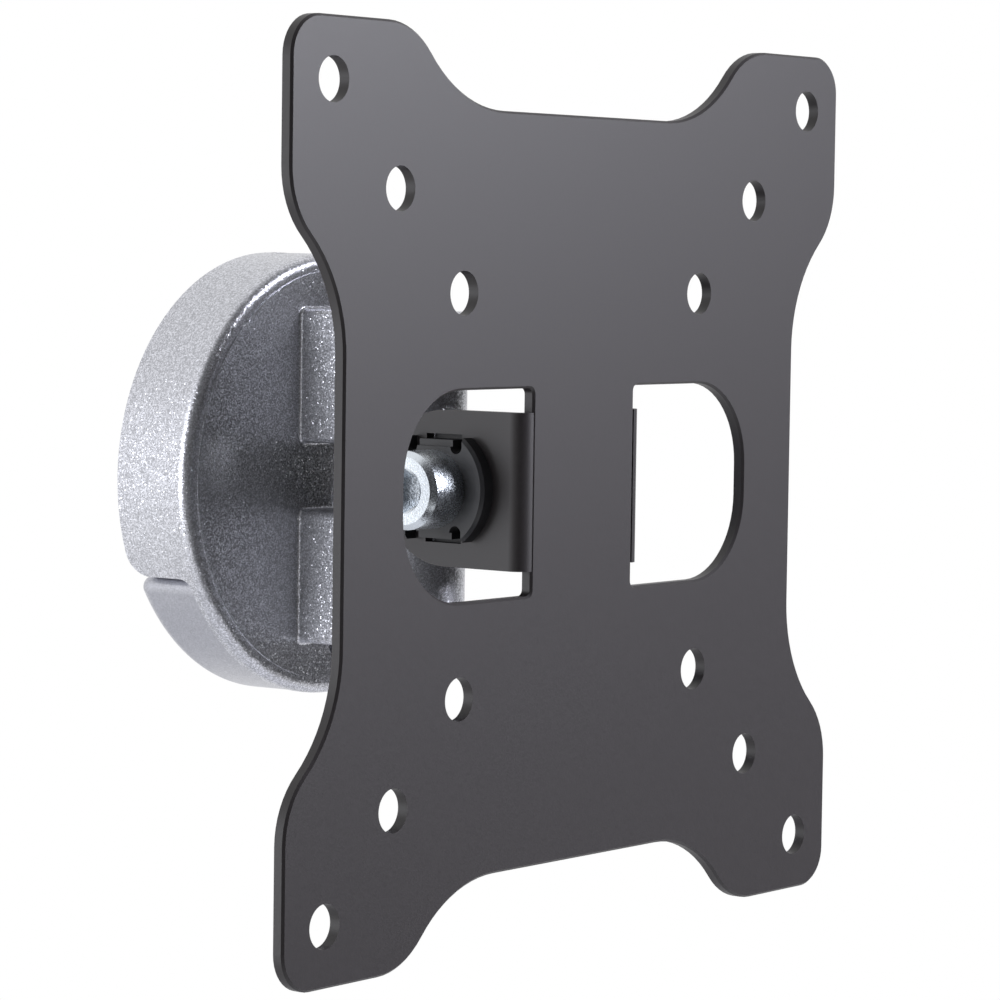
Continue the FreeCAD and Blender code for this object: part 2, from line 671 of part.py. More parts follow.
def locking_nut(label, height, rotation, x=0, y=0, z=0):
    """Hex nut with bevelled corners and a low collar that grips the thread; seat on z = 0."""
    body = new_body(label)
    flats = size["nut_flats"]
    collar = height * NUT_COLLAR_SHARE
    hexes = new_sketch(body, "XY_Plane")
    hexagon(hexes, flats)
    pad(body, hexes, height - collar)
    ring = new_sketch(body, "XY_Plane", height - collar)
    circle(ring, flats * NUT_COLLAR_RADIUS)
    pad(body, ring, collar)
    bore = new_sketch(body, "XY_Plane")
    circle(bore, turning_bore)
    pocket(body, bore, height, backward=True)
    # The turning tool takes the six corners off below the collar.
    corner = flats * HALF_ACROSS_CORNERS
    fall = (corner - flats / 2) * NUT_BEVEL_SLOPE
    bevel = new_sketch(body, "XZ_Plane")
    polygon(bevel, (flats / 2, height - collar), (corner + CUT_MARGIN, height - collar),
            (corner + CUT_MARGIN, height - collar - fall - NUT_BEVEL_SLOPE * CUT_MARGIN))
    groove = body.newObject("PartDesign::Groove", body.Label + "_groove")
    groove.Profile = bevel
    groove.ReferenceAxis = (bevel, ["V_Axis"])
    groove.Angle = 360
    body.Tip = groove
    doc.recompute()
    place(body, rotation, x, y, z)


def ring_washer(label, outer, bore, thickness, rotation, x=0, y=0, z=0):
    """Flat washer standing on z = 0."""
    body = new_body(label)
    profile = new_sketch(body, "XZ_Plane")
    polygon(profile, (bore, 0), (outer, 0), (outer, thickness), (bore, thickness))
    revolve(body, profile)
    place(body, rotation, x, y, z)


def cone_washer(label, outer, height, rotation, x=0, y=0, z=0):
    """Cone spring washer standing on its outer edge, with its inner edge raised."""
    body = new_body(label)
    sheet_height = height * CONE_SHEET_SHARE
    bore = screw_radius + size["seat_gap"]
    profile = new_sketch(body, "XZ_Plane")
    polygon(profile, (bore, height - sheet_height), (outer, 0), (outer, sheet_height), (bore, height))
    revolve(body, profile)
    place(body, rotation, x, y, z)


def tilt_axis_pieces():
    """Everything that the tilt screw clamps through the tabs and the knuckle."""
    nut_seat = flange_face + size["spring_height"]
    bore = screw_radius + size["seat_gap"]
    washer = size["friction_diameter"] / 2
    tilt_bush("tilt_bush_left", TO_LEFT, -tab_outer)
    tilt_bush("tilt_bush_right", TO_RIGHT, tab_outer)
    thickness = size["friction_thickness"]
    ring_washer("friction_washer_left", washer, bore, thickness, TO_RIGHT, -bush_end, -tilt_depth)
    ring_washer("friction_washer_right", washer, bore, thickness, TO_LEFT, bush_end, -tilt_depth)
    length = flange_face + nut_seat + size["tilt_nut_height"] + size["thread_end"]
    cap_screw("tilt_screw", length, TO_LEFT, -flange_face, -tilt_depth)
    spring = size["spring_diameter"] / 2
    cone_washer("tilt_spring_washer", spring, size["spring_height"], TO_RIGHT, flange_face, -tilt_depth)
    locking_nut("tilt_nut", size["tilt_nut_height"], TO_RIGHT, nut_seat, -tilt_depth)


def knuckle():
    """Black casting: an upright eye between the lugs, a neck, and a level barrel."""
    body = new_body("knuckle")
    eye = size["eye_diameter"] / 2
    barrel = size["barrel_diameter"] / 2
    plan = new_sketch(body, "XY_Plane")
    circle(plan, eye, 0, -size["swivel_reach"])
    pad(body, plan, size["eye_height"], "Symmetric")
    neck = new_sketch(body, "XY_Plane")
    half = knuckle_half - size["neck_inset"]
    polygon(neck, (-eye, -size["swivel_reach"]), (-half, -tilt_depth),
            (half, -tilt_depth), (eye, -size["swivel_reach"]))
    pad(body, neck, size["eye_height"], "Symmetric")
    round_bar = new_sketch(body, "YZ_Plane")
    circle(round_bar, barrel, -tilt_depth)
    pad(body, round_bar, knuckle_half * 2, "Symmetric")
    # Cast fillet where the neck runs into the barrel, then the sleeve's and the bushes' bores
    meet = root(barrel * barrel - size["eye_height"] * size["eye_height"] / 4)
    soften(body, "Fillet", size["knuckle_round"],
           lambda middle, edge: near(abs(middle.z), size["eye_height"] / 2)
           and near(middle.y, meet - tilt_depth))
    soften(body, "Fillet", size["knuckle_round"] / 2,
           lambda middle, edge: near(abs(middle.x), knuckle_half))
    bar_bore = new_sketch(body, "YZ_Plane")
    circle(bar_bore, size["sleeve_diameter"] / 2 + size["seat_gap"] / 2, -tilt_depth)
    pocket(body, bar_bore, knuckle_half * 2, "Symmetric")
    eye_bore = new_sketch(body, "XY_Plane")
    circle(eye_bore, size["swivel_bush_diameter"] / 2 + size["seat_gap"] / 2, 0, -size["swivel_reach"])
    pocket(body, eye_bore, size["eye_height"], "Symmetric")

    ring_washer("tilt_sleeve", size["sleeve_diameter"] / 2, turning_bore, knuckle_half * 2,
                TO_RIGHT, -knuckle_half, -tilt_depth)


def swivel_bush(label, rotation, z):
    """Flanged plastic bush pressed into the knuckle's eye, flange on z = 0 and upwards."""
    body = new_body(label)
    flange = size["swivel_flange_diameter"] / 2
    barrel = size["swivel_bush_diameter"] / 2
    thickness = gap_half - size["eye_height"] / 2 - size["running_gap"]
    depth = (size["eye_height"] - size["swivel_bush_space"]) / 2
    profile = new_sketch(body, "XZ_Plane")
    polygon(profile, (turning_bore, -depth), (barrel, -depth), (barrel, 0), (flange, 0),
            (flange, thickness), (turning_bore, thickness))
    revolve(body, profile)
    place(body, rotation, 0, -size["swivel_reach"], z)


def swivel_axis_pieces():
    """Bushes of the eye, and the screw that is sunk in the lugs with its nut."""
    reach = -size["swivel_reach"]
    eye_face = size["eye_height"] / 2
    bore = screw_radius + size["seat_gap"]
    washer = size["washer_thickness"]
    spring = size["nut_flats"] / 2 - size["small_spring_inset"]
    nut_seat = seat_level + size["small_spring_height"]
    length = washer + seat_level + nut_seat + size["swivel_nut_height"] + size["thread_end"]
    swivel_bush("swivel_bush_upper", None, eye_face)
    swivel_bush("swivel_bush_lower", UPSIDE_DOWN, -eye_face)
    cap_screw("swivel_screw", length, None, 0, reach, seat_level + washer)
    ring_washer("swivel_washer", washer_radius, bore, washer, None, 0, reach, seat_level)
    cone_washer("swivel_spring_washer", spring, size["small_spring_height"],
                UPSIDE_DOWN, 0, reach, -seat_level)
    locking_nut("swivel_nut", size["swivel_nut_height"], UPSIDE_DOWN, 0, reach, -nut_seat)


def skirt_radius(depth):
    """Outer radius of the tapered disc at a distance from the wall."""
    return disc_radius - size["disc_draft"] * depth / size["disc_depth"]


def base_housing():
    """Cast wall disc: a hollow skirt, a front wall and two lugs that carry the swivel screw."""
    body = new_body("base_housing")
    depth = size["disc_depth"]
    front = skirt_radius(depth)
    step = front - size["rim_width"]
    inner = skirt_inside
    ceiling = depth - size["front_thickness"]
    ledge = depth - size["rim_step"]
    profile = new_sketch(body, "XY_Plane")
    polygon(profile, (0, -ceiling), (inner, -ceiling), (inner, 0), (disc_radius, 0),
            (front, -ledge), (step, -ledge), (step, -depth), (0, -depth))
    revolve(body, profile)
    soften(body, "Fillet", size["disc_round"],
           lambda middle, edge: near(middle.y, -ledge) and near(math.hypot(middle.x, middle.z), front))

    # Two lugs drawn as one block with a round nose, then parted by the swivel gap
    reach = size["swivel_reach"]
    block = new_sketch(body, "XY_Plane")
    polygon(block, (-lug_half, -ceiling - size["rim_step"]), (-lug_half, -reach), (lug_half, -reach),
            (lug_half, -ceiling - size["rim_step"]))
    pad(body, block, size["lug_span"], "Symmetric")
    nose = new_sketch(body, "XY_Plane")
    circle(nose, lug_half, 0, -reach)
    pad(body, nose, size["lug_span"], "Symmetric")
    gap = new_sketch(body, "XY_Plane")
    side = lug_half + CUT_MARGIN
    polygon(gap, (-side, -depth), (-side, -reach - side), (side, -reach - side), (side, -depth))
    pocket(body, gap, size["lug_gap"], "Symmetric")
    soften(body, "Fillet", size["lug_round"],
           lambda middle, edge: middle.y < -plain(depth) - NEAR
           and (near(abs(middle.z), lug_top) or near(abs(middle.z), gap_half)))
    soften(body, "Fillet", size["lug_root"],
           lambda middle, edge: near(middle.y, -depth) and abs(middle.x) < plain(lug_half) + NEAR
           and abs(middle.z) < plain(lug_top) + NEAR)

    # Bore of the swivel screw, its head's counterbore above and the nut's hex pocket below
    sunk = lug_top - seat_level + CUT_MARGIN
    shank = new_sketch(body, "XY_Plane")
    circle(shank, screw_radius + size["seat_gap"], 0, -reach)
    pocket(body, shank, size["lug_span"] + CUT_MARGIN, "Symmetric")
    head = new_sketch(body, "XY_Plane", seat_level)
    circle(head, washer_radius + size["head_play"], 0, -reach)
    pocket(body, head, sunk, backward=True)
    nest = new_sketch(body, "XY_Plane", -seat_level)
    flat = (size["nut_flats"] + size["nut_play"]) / 2
    corner = flat * 2 * HALF_ACROSS_CORNERS
    polygon(nest, (flat, corner / 2 - reach), (0, corner - reach), (-flat, corner / 2 - reach),
            (-flat, -corner / 2 - reach), (0, -corner - reach), (flat, -corner / 2 - reach))
    pocket(body, nest, sunk)

    # Pockets cored into the lugs from behind keep the casting's walls even.
    cores = new_sketch(body, "XZ_Plane", ceiling)
    core_half = lug_half - size["core_wall"]
    for side in (-1, 1):
        near_gap = side * (gap_half + size["core_wall"])
        far_end = side * (lug_top - size["core_wall"])
        polygon(cores, (-core_half, near_gap), (core_half, near_gap), (core_half, far_end), (-core_half, far_end))
    pocket(body, cores, reach - corner - size["core_wall"] - ceiling, backward=True)

    vent = new_sketch(body, "XZ_Plane", depth)
    circle(vent, size["vent_diameter"] / 2, 0, -lug_top - size["vent_diameter"] / 2 - size["vent_drop"])
    pocket(body, vent, size["vent_depth"])

    # Claws inside the skirt that grip behind the wall plate's rim
    claws = new_sketch(body, "XZ_Plane", claw_front - size["claw_thickness"])
    claw_tip = dish_radius - size["claw_overlap"]
    claw_low = -size["claw_drop"] - size["claw_height"] / 2
    claw_high = -size["claw_drop"] + size["claw_height"] / 2
    for side in (-1, 1):
        claw_root = side * (inner + ROOT_MARGIN)
        polygon(claws, (side * claw_tip, claw_low), (claw_root, claw_low),
                (claw_root, claw_high), (side * claw_tip, claw_high))
    pad(body, claws, size["claw_thickness"])

    # Boss and tapped hole of the lock screw, at the top
    boss_half = size["lock_boss"] / 2
    boss_back = size["lock_depth"] - size["lock_diameter"] / 2 - size["lock_wall"]
    boss_foot = inner - size["lock_boss_height"]
    boss_root = inner + ROOT_MARGIN
    boss = new_sketch(body, "XZ_Plane", boss_back)
    polygon(boss, (-boss_half, boss_foot), (boss_half, boss_foot),
            (boss_half, boss_root), (-boss_half, boss_root))
    pad(body, boss, claw_front - boss_back)
    lock = new_sketch(body, "XY_Plane", boss_foot - CUT_MARGIN)
    circle(lock, size["lock_diameter"] / 2 + size["running_gap"], 0, -size["lock_depth"])
    pocket(body, lock, disc_radius - boss_foot + 2 * CUT_MARGIN, backward=True)

    # Notch in the lower skirt for the trim strip, its corner at the wall rounded
    notch = new_sketch(body, "YZ_Plane")
    level = size["notch_level"]
    notch_depth = depth - size["lip_depth"]
    below = -disc_radius - CUT_MARGIN
    polygon(notch, (CUT_MARGIN, -level), (CUT_MARGIN, below),
            (-notch_depth, below), (-notch_depth, -level))
    pocket(body, notch, size["disc_diameter"] + 2 * CUT_MARGIN, "Symmetric")
    soften(body, "Fillet", size["notch_round"],
           lambda middle, edge: near(middle.y, 0) and near(middle.z, -level))
    soften(body, "Fillet", size["cover_round"] + size["cover_gap"],
           lambda middle, edge: near(middle.y, -notch_depth) and near(middle.z, -level))
    pegs = new_sketch(body, "XZ_Plane", notch_depth)
    peg_holes(pegs, size["peg_diameter"] / 2 + size["seat_gap"])
    pocket(body, pegs, size["peg_length"] + size["seat_gap"], backward=True)


def peg_holes(sketch, radius):
    """Two circles in the skirt wall, spread about its lowest point."""
    ring = disc_radius - size["peg_inset"]
    half = size["peg_spread"] / 2
    level = -root(ring * ring - half * half)
    for side in (-1, 1):
        circle(sketch, radius, side * half, level)


def base_cover():
    """Moulded strip that closes the notch under the disc, with two pegs into the front wall."""
    body = new_body("base_cover")
    inner = skirt_inside
    reach = size["disc_depth"] - size["lip_depth"] - size["cover_gap"]
    profile = new_sketch(body, "XY_Plane")
    back = disc_radius - size["cover_inset"]
    front = skirt_radius(reach) - size["cover_inset"]
    polygon(profile, (inner, 0), (back, 0), (front, -reach), (inner, -reach))
    revolve(body, profile)
    soften(body, "Fillet", size["cover_edge"],
           lambda middle, edge: near(middle.y, 0) and near(math.hypot(middle.x, middle.z), back))
    upper = new_sketch(body, "XZ_Plane")
    wide = disc_radius + CUT_MARGIN
    level = -size["notch_level"] - size["cover_gap"]
    polygon(upper, (-wide, level), (wide, level), (wide, wide), (-wide, wide))
    pocket(body, upper, reach, backward=True)
    soften(body, "Fillet", size["cover_round"],
           lambda middle, edge: near(middle.z, level)
           and not near(math.hypot(middle.x, middle.z), inner))
    pegs = new_sketch(body, "XZ_Plane", reach)
    peg_holes(pegs, size["peg_diameter"] / 2)
    pad(body, pegs, size["peg_length"])


def wall_plate():
    """Dished steel plate screwed to the wall; the housing hooks behind its raised rim."""
    body = new_body("wall_plate")
    thick = size["dish_thickness"]
    rise = dish_rise
    run = size["dish_slope"]
    turn = dish_radius - size["dish_rim"]
    floor = turn - run
    # How far a bend's inside corner lies behind its outside corner
    lag = thick * (root(run * run + rise * rise) - run) / rise
    profile = new_sketch(body, "XY_Plane")
    polygon(profile, (0, 0), (floor, 0), (turn, -rise), (dish_radius, -rise),
            (dish_radius, -rise - thick), (turn - lag, -rise - thick),
            (floor - lag, -thick), (0, -thick))
    revolve(body, profile)
    hole = new_sketch(body, "XZ_Plane")
    circle(hole, size["wall_hole"] / 2, size["wall_pitch"] / 2, size["wall_pitch"] / 2)
    cut = pocket(body, hole, thick, backward=True)
    repeat_round(body, cut, hole, 4)


def lock_screw():
    """Grub screw with a cone point that passes behind the wall plate's rim."""
    body = new_body("lock_screw")
    radius = size["lock_diameter"] / 2
    length = size["lock_length"]
    point = radius * LOCK_POINT_SHARE
    profile = new_sketch(body, "XZ_Plane")
    polygon(profile, (0, -length), (point, -length), (radius, radius - point - length),
            (radius, 0), (0, 0))
    revolve(body, profile)
    socket = new_sketch(body, "XY_Plane")
    hexagon(socket, size["lock_socket"])
    pocket(body, socket, size["lock_socket"])
    top = skirt_radius(size["lock_depth"]) - size["lock_sink"]
    place(body, None, 0, -size["lock_depth"], top)


def write_sub_parts():
    """Check every object and write each sub-part's shape to its own file."""
    doc.recompute()
    for thing in doc.Objects:
        if "Invalid" in thing.State or "Error" in thing.State:
            raise ValueError(thing.Label + " is " + ", ".join(thing.State))
    os.makedirs("parts", exist_ok=True)
    for body in sub_parts:
        shape = body.Shape
        if shape.isNull() or not shape.isValid() or len(shape.Solids) != 1:
            raise ValueError(body.Label + " is not one sound solid")
    for body in sub_parts:
        body.Shape.exportStep(os.path.join("parts", body.Label + ".step"))


monitor_plate()
tilt_axis_pieces()
knuckle()
swivel_axis_pieces()
base_housing()
base_cover()
wall_plate()
lock_screw()
write_sub_parts()
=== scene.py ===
import bpy
from mathutils import Matrix, Vector


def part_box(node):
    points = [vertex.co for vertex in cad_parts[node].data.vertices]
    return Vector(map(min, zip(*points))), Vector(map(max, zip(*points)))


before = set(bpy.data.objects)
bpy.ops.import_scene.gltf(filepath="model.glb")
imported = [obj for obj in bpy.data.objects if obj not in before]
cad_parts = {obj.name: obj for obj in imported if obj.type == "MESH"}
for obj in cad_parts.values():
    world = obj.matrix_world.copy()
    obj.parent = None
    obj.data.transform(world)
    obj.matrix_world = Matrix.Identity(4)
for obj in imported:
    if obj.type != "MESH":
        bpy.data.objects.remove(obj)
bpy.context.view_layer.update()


# Wall plate: a round steel dish that is screwed to the wall first. The housing hooks over its
# raised rim. It is pressed from sheet and zinc-plated, which leaves a bluish grey with faint
# clouds.
noise_low = 0.3
noise_high = 0.7


def start_finish(name):
    """An empty material with its surface shader and the piece's own coordinates."""
    material = bpy.data.materials.new(name)
    material.use_nodes = True
    tree = material.node_tree
    tree.nodes.clear()
    output = tree.nodes.new("ShaderNodeOutputMaterial")
    shader = tree.nodes.new("ShaderNodeBsdfPrincipled")
    place = tree.nodes.new("ShaderNodeTexCoord")
    tree.links.new(shader.outputs["BSDF"], output.inputs["Surface"])
    return material, tree, shader, place.outputs["Object"]


def clouds(tree, place, size, detail=2.0):
    """Soft noise whose patches are about that many metres across."""
    noise = tree.nodes.new("ShaderNodeTexNoise")
    noise.inputs["Scale"].default_value = 1 / size
    noise.inputs["Detail"].default_value = detail
    tree.links.new(place, noise.inputs["Vector"])
    return noise.outputs["Fac"]


def stretch(tree, amount, low, high, start=noise_low, end=noise_high):
    """The node that stretches a grey value from start..end to low..high."""
    ranged = tree.nodes.new("ShaderNodeMapRange")
    ranged.inputs["From Min"].default_value = start
    ranged.inputs["From Max"].default_value = end
    ranged.inputs["To Min"].default_value = low
    ranged.inputs["To Max"].default_value = high
    tree.links.new(amount, ranged.inputs["Value"])
    return ranged


def spread(tree, amount, low, high, socket, start=noise_low, end=noise_high):
    """Feed a socket a grey value stretched to low..high."""
    ranged = stretch(tree, amount, low, high, start, end)
    tree.links.new(ranged.outputs["Result"], socket)


def tint(tree, amount, dark, light, start=noise_low, end=noise_high):
    """Two colours blended by a grey value."""
    blend = tree.nodes.new("ShaderNodeMix")
    blend.data_type = "RGBA"
    blend.inputs["A"].default_value = (*dark, 1)
    blend.inputs["B"].default_value = (*light, 1)
    spread(tree, amount, 0, 1, blend.inputs["Factor"], start, end)
    return blend.outputs["Result"]


def emboss(tree, height, depth, strength, under=None):
    """Relief of that depth in metres, laid over the relief that comes from under."""
    bump = tree.nodes.new("ShaderNodeBump")
    bump.inputs["Strength"].default_value = strength
    bump.inputs["Distance"].default_value = depth
    tree.links.new(height, bump.inputs["Height"])
    if under is not None:
        tree.links.new(under, bump.inputs["Normal"])
    return bump.outputs["Normal"]


def coat(node, material):
    """Give a piece of the frame its finish."""
    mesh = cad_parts[node].data
    mesh.materials.clear()
    mesh.materials.append(material)


def zinc_plate(name, dark, light, roughness, grain):
    """Zinc-plated steel: metal with fine grains and clouds in its brightness."""
    cloud_size = 0.004
    cloud_detail = 3
    smoother = 0.08
    rougher = 0.1
    relief_depth = 0.00003
    relief_strength = 0.8
    material, tree, shader, place = start_finish(name)
    shader.inputs["Metallic"].default_value = 1.0
    grains = clouds(tree, place, grain)
    patches = clouds(tree, place, cloud_size, cloud_detail)
    tree.links.new(tint(tree, patches, dark, light), shader.inputs["Base Color"])
    spread(tree, grains, roughness - smoother, roughness + rougher, shader.inputs["Roughness"])
    tree.links.new(emboss(tree, grains, relief_depth, relief_strength), shader.inputs["Normal"])
    return material


dish_zinc = zinc_plate("wall_plate_zinc", dark=(0.42, 0.44, 0.48), light=(0.56, 0.58, 0.62),
                       roughness=0.38, grain=0.0005)
coat("wall_plate", dish_zinc)


# Base housing: the cast wall disc with its skirt and the two lugs of the swivel axis. It is
# sprayed with a silver metallic paint, whose coarse flakes glitter one by one and whose skin
# follows the slightly rough casting.
silver_low = (0.42, 0.425, 0.455)
silver_high = (0.82, 0.828, 0.885)
silver_metal = 0.8
silver_roughness = 0.34
flake_size = 0.00015
flake_lean = 0.12
flake_wild_lean = 0.65
dull_share = 0.3
cast_grain = 0.0009
cast_depth = 0.00004
cast_strength = 0.2


def flakes(tree, place, size, calm, wild):
    """Metal flakes in paint: each cell has its own shade and lean, a few of them lean far."""
    rarity = 4
    middle = (0.5, 0.5, 0.5)
    cells = tree.nodes.new("ShaderNodeTexVoronoi")
    cells.inputs["Scale"].default_value = 1 / size
    tree.links.new(place, cells.inputs["Vector"])
    surface = tree.nodes.new("ShaderNodeNewGeometry")
    centred = tree.nodes.new("ShaderNodeVectorMath")
    centred.operation = "SUBTRACT"
    centred.inputs[1].default_value = middle
    draw = tree.nodes.new("ShaderNodeTexWhiteNoise")
    rare = tree.nodes.new("ShaderNodeMath")
    rare.operation = "POWER"
    rare.inputs[1].default_value = rarity
    leaning = tree.nodes.new("ShaderNodeVectorMath")
    leaning.operation = "MULTIPLY_ADD"
    unit = tree.nodes.new("ShaderNodeVectorMath")
    unit.operation = "NORMALIZE"
    shade = tree.nodes.new("ShaderNodeSeparateColor")
    tree.links.new(cells.outputs["Color"], centred.inputs[0])
    tree.links.new(cells.outputs["Color"], shade.inputs["Color"])
    tree.links.new(centred.outputs["Vector"], leaning.inputs[0])
    tree.links.new(cells.outputs["Color"], draw.inputs["Vector"])
    tree.links.new(draw.outputs["Value"], rare.inputs[0])
    spread(tree, rare.outputs["Value"], calm, wild, leaning.inputs[1], 0, 1)
    tree.links.new(surface.outputs["Normal"], leaning.inputs[2])
    tree.links.new(leaning.outputs["Vector"], unit.inputs[0])
    return shade.outputs["Red"], unit.outputs["Vector"]


silver, tree, shader, place = start_finish("silver_flake_paint")
shade, lean = flakes(tree, place, flake_size, flake_lean, flake_wild_lean)
colour = tint(tree, shade, silver_low, silver_high, dull_share, 1)
skin = clouds(tree, place, cast_grain)
tree.links.new(colour, shader.inputs["Base Color"])
shader.inputs["Metallic"].default_value = silver_metal
shader.inputs["Roughness"].default_value = silver_roughness
tree.links.new(emboss(tree, skin, cast_depth, cast_strength, lean), shader.inputs["Normal"])
coat("base_housing", silver)


# Trim strip: a smooth moulding, painted silver, that closes the notch under the disc. Its two
# pegs go into the casting. Its paint is finer than the housing's and hardly glitters.
strip_low = (0.38, 0.385, 0.42)
strip_high = (0.54, 0.546, 0.595)
strip_roughness = 0.3
strip_flake_size = 0.00012
strip_lean = 0.08
strip_wild_lean = 0.4

strip_paint, tree, shader, place = start_finish("silver_fine_paint")
shade, lean = flakes(tree, place, strip_flake_size, strip_lean, strip_wild_lean)
colour = tint(tree, shade, strip_low, strip_high, 0, 1)
tree.links.new(colour, shader.inputs["Base Color"])
shader.inputs["Metallic"].default_value = silver_metal
shader.inputs["Roughness"].default_value = strip_roughness
tree.links.new(lean, shader.inputs["Normal"])
coat("base_cover", strip_paint)


# Lock screw and the hardware of the swivel axis: a grub screw on top of the skirt, and a cap
# screw sunk in the lugs with its washers and its locking nut. All are bright zinc-plated steel.
bright_zinc = zinc_plate("bright_zinc", dark=(0.58, 0.62, 0.67), light=(0.74, 0.79, 0.84),
                         roughness=0.26, grain=0.00022)
for node in ("lock_screw", "swivel_screw", "swivel_washer", "swivel_spring_washer", "swivel_nut"):
    coat(node, bright_zinc)


# Knuckle: a black casting with an upright eye between the lugs and a level barrel between the
# tabs. Its paint is matt and shows the sandy skin of the casting.
knuckle_dark = (0.012, 0.012, 0.013)
knuckle_light = (0.022, 0.022, 0.024)
knuckle_smooth = 0.42
knuckle_rough = 0.56
sand_size = 0.0006
sand_detail = 3
sand_depth = 0.00005
sand_strength = 0.5

cast_black, tree, shader, place = start_finish("black_paint_on_casting")
skin = clouds(tree, place, sand_size, sand_detail)
tree.links.new(tint(tree, skin, knuckle_dark, knuckle_light), shader.inputs["Base Color"])
spread(tree, skin, knuckle_smooth, knuckle_rough, shader.inputs["Roughness"])
tree.links.new(emboss(tree, skin, sand_depth, sand_strength), shader.inputs["Normal"])
coat("knuckle", cast_black)


# Sleeve: a steel tube in the barrel, left bare and greased. It is turned on a lathe, which
# leaves fine rings round it.
turned_dark = (0.4, 0.4, 0.4)
turned_light = (0.55, 0.55, 0.54)
turned_smooth = 0.25
turned_rough = 0.4
ring_scale = 1500
ring_waver = 2

turned, tree, shader, place = start_finish("turned_steel")
rings = tree.nodes.new("ShaderNodeTexWave")
rings.bands_direction = "X"
rings.inputs["Scale"].default_value = ring_scale
rings.inputs["Distortion"].default_value = ring_waver
tree.links.new(place, rings.inputs["Vector"])
colour = tint(tree, rings.outputs["Fac"], turned_dark, turned_light)
tree.links.new(colour, shader.inputs["Base Color"])
shader.inputs["Metallic"].default_value = 1.0
spread(tree, rings.outputs["Fac"], turned_smooth, turned_rough, shader.inputs["Roughness"])
coat("tilt_sleeve", turned)


# Swivel bushes: two flanged bushes of black plastic, pushed into the eye from above and below.
# They are moulded, which leaves a fine grain and faint flow marks.
moulded_dark = (0.012, 0.012, 0.014)
moulded_light = (0.02, 0.02, 0.022)
moulded_smooth = 0.34
moulded_rough = 0.46
grain_size = 0.00025
grain_depth = 0.00002
grain_strength = 0.3
flow_size = 0.003

moulded, tree, shader, place = start_finish("black_moulding")
grain = clouds(tree, place, grain_size)
flow = clouds(tree, place, flow_size)
tree.links.new(tint(tree, flow, moulded_dark, moulded_light), shader.inputs["Base Color"])
spread(tree, grain, moulded_smooth, moulded_rough, shader.inputs["Roughness"])
tree.links.new(emboss(tree, grain, grain_depth, grain_strength), shader.inputs["Normal"])
for node in ("swivel_bush_upper", "swivel_bush_lower"):
    coat(node, moulded)


# Monitor plate: a steel pressing with four ears, three squares of screw holes, two D-shaped
# windows and two tabs folded back. It is powder-coated satin black, with the fine orange peel
# that powder leaves when it melts.
powder_dark = (0.0155, 0.0128, 0.0142)
powder_light = (0.0215, 0.0178, 0.0197)
powder_smooth = 0.42
powder_rough = 0.5
dust_size = 0.00018
dust_depth = 0.00001
peel_size = 0.0007
peel_detail = 1
peel_depth = 0.00002
powder_strength = 0.25

powder, tree, shader, place = start_finish("black_powder_coat")
peel = clouds(tree, place, peel_size, peel_detail)
dust = clouds(tree, place, dust_size)
tree.links.new(tint(tree, dust, powder_dark, powder_light), shader.inputs["Base Color"])
spread(tree, dust, powder_smooth, powder_rough, shader.inputs["Roughness"])
fine = emboss(tree, dust, dust_depth, powder_strength)
tree.links.new(emboss(tree, peel, peel_depth, powder_strength, fine), shader.inputs["Normal"])
coat("monitor_plate", powder)


# Tilt bushes and friction washers: black mouldings that snap into the tabs with two fingers
# each, and thin discs that rub on the knuckle.
for node in ("tilt_bush_left", "tilt_bush_right", "friction_washer_left", "friction_washer_right"):
    coat(node, moulded)


# Tilt screw, cone washer and locking nut: bright zinc-plated steel. The screw goes through both
# tabs and the knuckle, and the cone washer keeps the clamping force, and so the friction, even.
for node in ("tilt_screw", "tilt_spring_washer", "tilt_nut"):
    coat(node, bright_zinc)


# Floor: a pale matt floor under the mount, which ends a little way in front of it. The camera
# sees it white. So do glossy surfaces, but for the part close under the mount, which they see
# as it is lit.
floor_level = -0.45
floor_half = 30
floor_front = -0.6
floor_grey = (0.8, 0.8, 0.8, 1)
white = (1, 1, 1, 1)
white_start = 0.56
white_end = 0.75


def choose(tree, chance, plain, shown, socket=None):
    """A plain value, or the shown one where the chance is 1, fed to the socket if one is given."""
    pick = tree.nodes.new("ShaderNodeMix")
    for name, value in (("A", plain), ("B", shown)):
        if isinstance(value, bpy.types.NodeSocket):
            tree.links.new(value, pick.inputs[name])
        else:
            pick.inputs[name].default_value = value
    tree.links.new(chance, pick.inputs["Factor"])
    if socket is not None:
        tree.links.new(pick.outputs["Result"], socket)
    return pick.outputs["Result"]


floor_mesh = bpy.data.meshes.new("floor")
floor_mesh.from_pydata(
    [(-floor_half, floor_front, floor_level), (floor_half, floor_front, floor_level),
     (floor_half, floor_half, floor_level), (-floor_half, floor_half, floor_level)],
    [], [(0, 1, 2, 3)])
floor = bpy.data.objects.new("floor", floor_mesh)
bpy.context.scene.collection.objects.link(floor)
pale = bpy.data.materials.new("pale_floor")
pale.use_nodes = True
tree = pale.node_tree
tree.nodes.clear()
output = tree.nodes.new("ShaderNodeOutputMaterial")
matt = tree.nodes.new("ShaderNodeBsdfDiffuse")
matt.inputs["Color"].default_value = floor_grey
seen = tree.nodes.new("ShaderNodeEmission")
seen.inputs["Color"].default_value = white
either = tree.nodes.new("ShaderNodeMixShader")
spot = tree.nodes.new("ShaderNodeTexCoord")
away = tree.nodes.new("ShaderNodeVectorMath")
away.operation = "LENGTH"
tree.links.new(spot.outputs["Object"], away.inputs[0])
far = stretch(tree, away.outputs["Value"], 0, 1, white_start, white_end)
ray = tree.nodes.new("ShaderNodeLightPath")
mirrored = choose(tree, ray.outputs["Is Glossy Ray"], ray.outputs["Is Transmission Ray"],
                  far.outputs["Result"])
